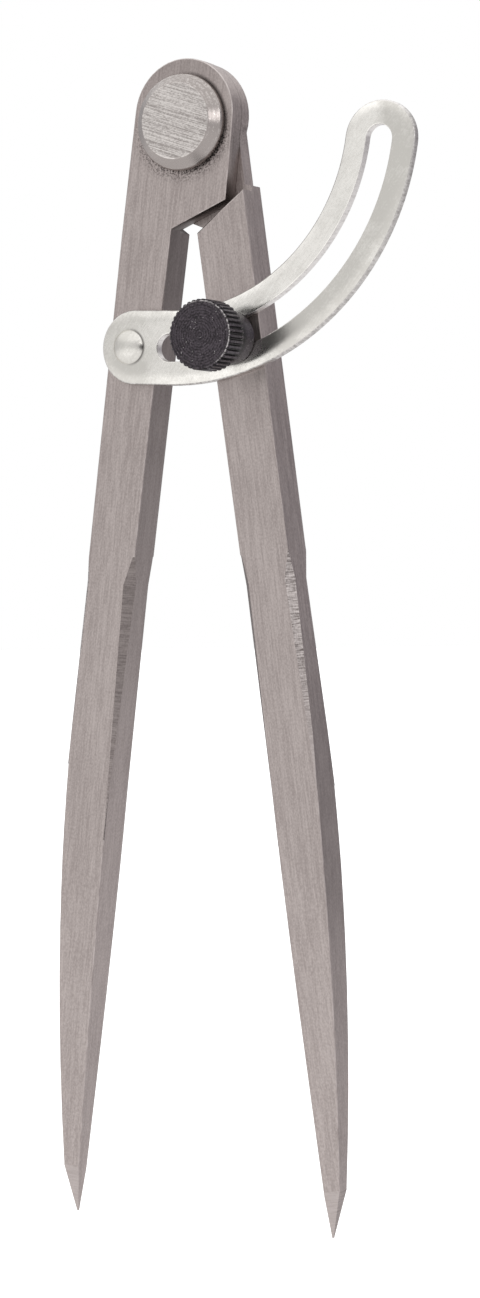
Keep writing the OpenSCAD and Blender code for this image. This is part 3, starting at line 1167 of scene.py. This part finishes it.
@dataclass
class SettingArc:
    """The slotted arc and the round-headed rivet that holds it to the left leg."""

    leg_face: float = LEG_FACE
    arc_face: float = ARC_FACE
    arc_r: float = ARC_R
    arc_w: float = 12.8
    slot_w: float = SLOT_W
    slot_sweep: float = 84.5
    end_inset: float = 0.95
    crown_w: float = 1.5
    crown_h: float = 0.4
    crown_run: float = 0.8
    crown_soft: float = 0.7
    edge_round: float = 0.4
    rear_round: float = 0.3
    rear_run: float = 1.0
    slot_round: float = 0.2
    slot_run: float = 0.6
    button_r: float = BUTTON_R
    button_h: float = 1.4
    shank_r: float = 1.6
    flare: float = 0.8
    arc_steps: int = 96
    end_steps: int = 36
    hole_steps: int = 48
    button_steps: int = 96
    dome_steps: int = 14
    edge_turn: float = 33.0
    sharp: float = 50.0

    def near_end(self, rivet: Spot) -> float:
        """Finds the turn from straight down, in radians, where the tab leaves the arc straight on."""
        to_rivet = Vector(rivet).length
        return math.atan2(rivet[0], -rivet[1]) + math.acos(self.arc_r / to_rivet)

    def track(self, rivet: Spot, away: float, starts_at_rivet: bool) -> list[Vector]:
        """Draws a closed line round the arc's middle line, going forward along its outside.

        Args:
            rivet: The X and Z of the arc's rivet.
            away: The distance from the middle line.
            starts_at_rivet: Whether the middle line starts at the rivet or at the slot's near end.

        Returns:
            The points of the line.
        """
        near = self.near_end(rivet)
        far = near + math.radians(self.slot_sweep)
        first = swing(HINGE_AXIS, self.arc_r, near)
        if starts_at_rivet:
            first = Vector(rivet) + Vector((math.cos(near), math.sin(near))) * self.end_inset
        last = swing(HINGE_AXIS, self.arc_r, far)
        turns = [near + (far - near) * i / self.arc_steps for i in range(self.arc_steps + 1)]
        round_end = [math.pi * i / self.end_steps for i in range(1, self.end_steps)]
        points = [swing(HINGE_AXIS, self.arc_r + away, turn) for turn in turns]
        points += [swing(last, away, far + turn) for turn in round_end]
        points += [swing(HINGE_AXIS, self.arc_r - away, turn) for turn in reversed(turns)]
        points += [swing(first, away, near + math.pi + turn) for turn in round_end]
        return points

    def edge_profile(self) -> list[Spot]:
        """Draws the section of the outer edge.

        Returns:
            The inset and the distance forward of its points, from the front round to the back.
        """
        return softened([
            (self.crown_w + self.crown_run, self.arc_face, 0.0),
            (self.crown_w, self.arc_face, self.crown_soft),
            (0.0, self.arc_face - self.crown_h, self.edge_round),
            (0.0, self.leg_face, self.rear_round),
            (self.rear_run, self.leg_face, 0.0),
        ])

    def slot_profile(self) -> list[Spot]:
        """Draws the section of the slot's edge.

        Returns:
            The inset and the distance forward of its points, from the front round to the back.
        """
        return softened([
            (self.slot_run, self.arc_face, 0.0),
            (0.0, self.arc_face, self.slot_round),
            (0.0, self.leg_face, self.slot_round),
            (self.slot_run, self.leg_face, 0.0),
        ])

    def plate(self, rivet: Spot) -> Mesh:
        """Makes the plate's mesh: bands round its edge, its slot and its hole, joined by flat faces.

        Args:
            rivet: The X and Z of the arc's rivet.

        Returns:
            The mesh.
        """
        bm = bmesh.new()
        outside, slot = self.arc_w / 2, self.slot_w / 2
        hole = [swing(rivet, self.shank_r, turn) for turn in Lathe(rivet, self.hole_steps).turns()]
        bands = [
            [(self.track(rivet, outside - d, True), f) for d, f in self.edge_profile()],
            [(self.track(rivet, slot + d, False), f) for d, f in self.slot_profile()],
            [(hole, self.arc_face), (hole, self.leg_face)],
        ]
        flats: tuple[list[bmesh.types.BMEdge], list[bmesh.types.BMEdge]] = ([], [])
        for band in bands:
            rings = [[bm.verts.new(Vector((p.x, -f, p.y)) * MM) for p in line] for line, f in band]
            for one, other in zip(rings, rings[1:]):
                for i in range(len(one)):
                    bm.faces.new((one[i - 1], one[i], other[i], other[i - 1]))
            for flat, ring in zip(flats, (rings[0], rings[-1])):
                flat += [bm.edges.get((ring[i - 1], ring[i])) for i in range(len(ring))]
        for flat in flats:
            bmesh.ops.triangle_fill(bm, use_beauty=True, edges=flat)
        bmesh.ops.recalc_face_normals(bm, faces=bm.faces[:])
        for face in bm.faces:
            face.material_index = int(abs(face.normal.y) < math.cos(math.radians(self.edge_turn)))
        return shade_round(finished_mesh(bm, "setting_arc_mesh"), self.sharp)

    def rivet_profile(self) -> list[Spot]:
        """Draws the section of the arc's rivet.

        Returns:
            Its points, from the flared tail to the top of the dome.
        """
        ball_r = (self.button_r ** 2 + self.button_h ** 2) / (2 * self.button_h)
        ball_middle = self.arc_face + self.button_h - ball_r
        dome = []
        for i in range(self.dome_steps):
            across = self.button_r * math.cos(i / self.dome_steps * math.pi / 2)
            dome.append((across, ball_middle + math.sqrt(ball_r ** 2 - across ** 2)))
        return [
            (0.0, -self.leg_face),
            (self.shank_r + self.flare, -self.leg_face),
            (self.shank_r, self.flare - self.leg_face),
            (self.shank_r, self.arc_face),
            *dome,
            (0.0, ball_middle + ball_r),
        ]

    def build(self) -> list[Piece]:
        """Makes the arc and its rivet.

        Returns:
            The two pieces.
        """
        rivet = axis_of(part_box("arc_rivet"))
        plating = BrightPlate("bright_plate", rivet).material()
        cut_edge = ShearedEdge().material()
        button = Lathe(rivet, self.button_steps).turn(
            "domed_arc_rivet", self.rivet_profile(), sharp=self.sharp
        )
        pieces = []
        for name, node, mesh, finishes in (
            ("plated_setting_arc", "setting_arc", self.plate(rivet), [plating, cut_edge]),
            ("domed_arc_rivet", "arc_rivet", button, [plating]),
        ):
            pieces.append(even_normals(add_piece(name, mesh, finishes, node, "left_side")))
        return pieces


@dataclass
class Thumbscrew:
    """The black knurled knob and the threaded stud that it turns on."""

    arc_face: float = ARC_FACE
    knob_r: float = 5.9
    knob_l: float = 4.9
    knob_sharp: float = 24.0
    collar_r: float = 4.5
    collar_l: float = 6.0
    collar_cut: float = 0.25
    neck_depth: float = 0.4
    neck_w: float = 0.5
    neck_cut: float = 0.12
    teeth: int = 40
    tooth_steps: int = 10
    tooth_depth: float = 0.35
    tooth_half: float = 0.36
    tooth_slope: float = 0.16
    edge_cut: float = 0.34
    edge_shares: tuple[float, ...] = (0.0, 0.3, 0.5, 0.7, 0.85, 1.0)
    bore_r: float = 2.02
    bore_cut: float = 0.15
    cap: float = 2.2
    face_rings: int = 9
    ring_half: float = 0.12
    ring_depth: float = 0.04
    dimple: float = 0.08
    # The rubbed front edge, brightest on the upper right as a painted highlight: where its ring lies, how
    # far it reaches and which side it is on.
    rub_inset: float = 0.13
    rub_reach: float = 0.14
    rub_depth: float = 0.3
    rub_rest: float = 0.35
    glint_upward: float = 0.5
    stud_r: float = 2.0
    stud_end: float = 0.5
    stud_steps: int = 48
    stud_sharp: float = 50.0
    thread_pitch: float = 0.7
    thread_depth: float = 0.4
    thread_steps: int = 8

    def head(self) -> float:
        """Gives the distance forward of the knurled head's rear face."""
        return self.arc_face + self.collar_l

    def front(self) -> float:
        """Gives the distance forward of the knob's front face."""
        return self.head() + self.knob_l

    def tooth(self, across: float, turn: float) -> float:
        """Cuts the knurl's grooves into a ring.

        Args:
            across: The ring's radius.
            turn: The place round the ring, in radians.

        Returns:
            The radius there.
        """
        if across <= self.knob_r - self.tooth_depth:
            return across
        phase = (turn * self.teeth / (2 * math.pi)) % 1.0
        rise = min(max((self.tooth_half - abs(phase - 0.5)) / self.tooth_slope, 0.0), 1.0)
        return min(across, self.knob_r - self.tooth_depth * (1.0 - rise))

    def knob_profile(self) -> list[Spot]:
        """Draws the knob's section.

        Returns:
            Its points, from the bottom of the bore round to the middle of the front face.
        """
        head, front = self.head(), self.front()
        cut = self.edge_cut
        bore_end = front - self.cap
        points = [
            (0.0, bore_end),
            (self.bore_r, bore_end),
            (self.bore_r, self.arc_face + self.bore_cut),
            (self.bore_r + self.bore_cut, self.arc_face),
            (self.collar_r - self.collar_cut, self.arc_face),
            (self.collar_r, self.arc_face + self.collar_cut),
            (self.collar_r, head - self.neck_w - self.neck_cut),
            (self.collar_r - self.neck_cut, head - self.neck_w),
            (self.collar_r - self.neck_depth, head - self.neck_w),
            (self.collar_r - self.neck_depth, head),
        ]
        edge = self.knob_r - cut
        points += [(self.knob_r - cut * (1 - s), head + cut * s) for s in self.edge_shares]
        points += [(self.knob_r - cut * (1 - s), front - cut * s) for s in reversed(self.edge_shares)]
        points.append((edge - self.rub_inset, front))
        for i in range(1, self.face_rings):
            across = edge * (1 - i / self.face_rings)
            points.append((across + self.ring_half, front))
            points.append((across, front - self.ring_depth))
            points.append((across - self.ring_half, front))
        points.append((0.0, front - self.dimple))
        return points

    def rub(self, mesh: Mesh, centre: Spot) -> None:
        """Notes on each point of the knob how far its front edge is rubbed there, more on the upper right
        as a painted highlight.

        Args:
            mesh: The knob's mesh.
            centre: The X and Z of the screw's axis.
        """
        layer = mesh.attributes.new(WEAR_AND_GLINT_LAYER, "FLOAT", "POINT")
        for vertex in mesh.vertices:
            spot = vertex.co / MM
            x, z = spot.x - centre[0], spot.z - centre[1]
            from_rim = abs(math.hypot(x, z) - self.knob_r + self.edge_cut)
            near_rim = 1.0 - min(from_rim / self.rub_reach, 1.0)
            near_front = 1.0 - min(abs(self.front() + spot.y) / self.rub_depth, 1.0)
            # Weights the rub towards the upper right: a painted highlight.
            facing = (x + self.glint_upward * z) / self.knob_r
            on_side = min(max(self.rub_rest + facing, 0.0), 1.0)
            layer.data[vertex.index].value = near_front * near_rim * on_side

    def build_knob(self, centre: Spot) -> Piece:
        """Makes the knob.

        Args:
            centre: The X and Z of the screw's axis.

        Returns:
            The piece.
        """
        groove_r = self.knob_r - self.tooth_depth
        finish = BlackOxide("black_oxide", centre, groove_r, self.head(), self.front()).material()
        lathe = Lathe(centre, self.teeth * self.tooth_steps)
        mesh = lathe.turn("knurled_knob", self.knob_profile(), self.tooth, self.knob_sharp)
        self.rub(mesh, centre)
        return even_normals(add_piece("knurled_knob", mesh, [finish], "clamp_knob", "knob"))

    def build_stud(self, centre: Spot, box: Box) -> Piece:
        """Makes the stud with its thread as a helical ridge.

        Args:
            centre: The X and Z of the screw's axis.
            box: The lowest and highest corners of the stud, in metres.

        Returns:
            The piece.
        """
        low, high = box
        rear, front = -high.y / MM, -low.y / MM
        rows = int((front - rear) / self.thread_pitch * self.thread_steps)
        profile = [(0.0, rear)]
        profile += [(self.stud_r, rear + (front - rear) * i / rows) for i in range(rows + 1)]
        profile.append((0.0, front))
        mesh = Lathe(centre, self.stud_steps).turn("threaded_stud", profile, sharp=self.stud_sharp)
        for vertex in mesh.vertices:
            spot = vertex.co / MM
            x, z = spot.x - centre[0], spot.z - centre[1]
            across = math.hypot(x, z)
            if across < self.stud_r / 2:
                continue
            forward = -spot.y
            phase = (forward / self.thread_pitch + math.atan2(x, -z) / (2 * math.pi)) % 1.0
            groove = self.thread_depth * abs(2 * phase - 1)
            end = max(0.0, self.stud_end - (forward - rear))
            shrink = (self.stud_r - max(groove, end)) / across
            vertex.co = Vector((centre[0] + x * shrink, spot.y, centre[1] + z * shrink)) * MM
        finish = ThreadSteel().material()
        return even_normals(add_piece("threaded_stud", mesh, [finish], "clamp_stud", "stud"))

    def build(self) -> list[Piece]:
        """Makes the knob and the stud.

        Returns:
            The two pieces.
        """
        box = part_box("clamp_stud")
        centre = axis_of(box)
        return [self.build_knob(centre), self.build_stud(centre, box)]


@dataclass(frozen=True)
class Shot:
    """The camera, at the photograph's viewing angle."""

    frame_h_px: float = 1298.0
    focal_px: float = 2989.4
    azimuth: float = 28.395
    elevation: float = 1.423
    roll: float = -0.529
    distance: float = 512.98
    aim_across: float = 7.335
    aim_up: float = -89.589
    sensor: float = 36.0
    nearest: float = 10.0

    def place(self) -> None:
        """Makes the camera and sets it for the scene."""
        az, roll = math.radians(self.azimuth), math.radians(self.roll)
        back = outward_from_tool(self.azimuth, self.elevation)
        right = Vector((math.cos(az), math.sin(az), 0.0))
        up = back.cross(right)
        spot = right * self.aim_across + Vector((0.0, 0.0, self.aim_up)) + back * self.distance
        rolled_right = right * math.cos(roll) + up * math.sin(roll)
        rolled_up = up * math.cos(roll) - right * math.sin(roll)
        data = bpy.data.cameras.new("camera")
        data.sensor_width = self.sensor
        data.lens = self.sensor * self.focal_px / self.frame_h_px
        data.clip_start = self.nearest * MM
        camera = add_object("camera", data)
        turn = Matrix((rolled_right, rolled_up, back)).transposed().to_4x4()
        camera.matrix_world = Matrix.Translation(spot * MM) @ turn
        bpy.context.scene.camera = camera


@dataclass(frozen=True)
class Softbox:
    """A soft rectangular light, aimed at the tool."""

    name: str = "side_box"
    azimuth: float = 60.0
    elevation: float = 20.0
    distance: float = 700.0
    width: float = 160.0
    height: float = 200.0
    power_w: float = 0.3

    def place(self, target: Vector) -> None:
        """Hangs the light round a target.

        Args:
            target: The point that it is aimed at, in metres.
        """
        towards = outward_from_tool(self.azimuth, self.elevation)
        data = bpy.data.lights.new(self.name, "AREA")
        data.shape = "RECTANGLE"
        data.size = self.width * MM
        data.size_y = self.height * MM
        data.energy = self.power_w
        lamp = add_object(self.name, data)
        lamp.location = target + towards * self.distance * MM
        lamp.rotation_euler = towards.to_track_quat("Z", "Y").to_euler()


@dataclass(frozen=True)
class Studio:
    """A pale floor in a soft, pale room, brighter to the front left, below and overhead."""

    floor_r: float = 4000.0
    floor_steps: int = 128
    floor_colour: Colour = (0.93, 0.93, 0.93, 1.0)
    floor_glow: float = 0.5
    floor_blot: float = 40.0
    floor_shade: float = 0.985
    floor_rough: Span = (0.75, 0.85)
    floor_relief: float = 0.01
    bright_side: Triple = (-0.475, -0.88, 0.0)
    wall_dim: Colour = (0.38, 0.365, 0.39, 1.0)
    wall_bright: Colour = (0.82, 0.82, 0.82, 1.0)
    low_dim: Colour = (0.88, 0.87, 0.88, 1.0)
    low_bright: Colour = (1.16, 1.16, 1.16, 1.0)
    low_rise: Span = (0.02, -0.25)
    ceiling: Colour = (1.15, 1.15, 1.15, 1.0)
    ceiling_rise: Span = (0.3, 0.6)
    white: Colour = (1.0, 1.0, 1.0, 1.0)

    def lay_floor(self, level: float) -> None:
        """Lays the floor.

        Args:
            level: Its height, in metres.
        """
        bm = bmesh.new()
        bmesh.ops.create_circle(bm, cap_ends=True, segments=self.floor_steps, radius=self.floor_r * MM)
        mesh = finished_mesh(bm, "floor")
        recipe = Recipe("pale_floor")
        blot = recipe.blots(self.floor_blot, 3.0)
        shade = tuple(self.floor_shade * c for c in self.floor_colour[:3]) + (1.0,)
        colour = recipe.blend(blot, self.floor_colour, shade)
        rough = recipe.fit(blot, *NOISE_SPAN, *self.floor_rough)
        mesh.materials.append(recipe.finish(colour, rough, blot, self.floor_relief, metallic=0.0))
        recipe.shader.inputs["Emission Color"].default_value = self.floor_colour
        recipe.shader.inputs["Emission Strength"].default_value = self.floor_glow
        floor = add_object("floor", mesh)
        floor.location.z = level
        floor.visible_glossy = False
        floor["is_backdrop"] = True

    def light_room(self) -> None:
        """Gives the room its soft light and its plain pale ground."""
        world = bpy.data.worlds.new("pale_room")
        world.use_nodes = True
        world.node_tree.nodes.clear()
        graph = Graph(world.node_tree)
        facing = graph.node("ShaderNodeTexCoord", {}).outputs["Generated"]
        toward = Vector(self.bright_side).normalized()
        turn = graph.node("ShaderNodeVectorMath", {0: facing, 1: toward}, operation="DOT_PRODUCT")
        share = graph.fit(turn.outputs["Value"], -1.0, 1.0)
        rise = graph.node("ShaderNodeSeparateXYZ", {0: facing}).outputs["Z"]
        walls = graph.blend(share, self.wall_dim, self.wall_bright)
        below = graph.blend(share, self.low_dim, self.low_bright)
        room = graph.blend(graph.fit(rise, *self.low_rise), walls, below)
        room = graph.blend(graph.fit(rise, *self.ceiling_rise), room, self.ceiling)
        seen = graph.node("ShaderNodeLightPath", {}).outputs["Is Camera Ray"]
        glow = graph.node("ShaderNodeBackground", {"Color": graph.blend(seen, room, self.white)})
        graph.node("ShaderNodeOutputWorld", {"Surface": glow.outputs["Background"]})
        bpy.context.scene.world = world
        bpy.context.scene.view_settings.view_transform = "Standard"

    def build(self, box: Box) -> None:
        """Sets up the floor, the room and the light.

        Args:
            box: The lowest and highest corners of the tool, in metres.
        """
        low, high = (Vector(corner) for corner in box)
        self.lay_floor(low.z)
        self.light_room()
        Softbox().place((low + high) / 2)


def main() -> None:
    """Builds the tool's sub-assemblies in order, and reports and measures their pieces."""
    logging.basicConfig(level=logging.INFO, format="%(message)s")
    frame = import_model()
    cad_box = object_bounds()
    Shot().place()
    Studio().build(cad_box)
    pieces = [Leg(side).build(frame) for side in Side]
    for assembly in (Hinge(), SettingArc(), Thumbscrew()):
        pieces += assembly.build()
    for piece in pieces:
        log.info("%s: %d faces", piece.name, len(piece.data.polygons))


if __name__ == "__main__":
    main()
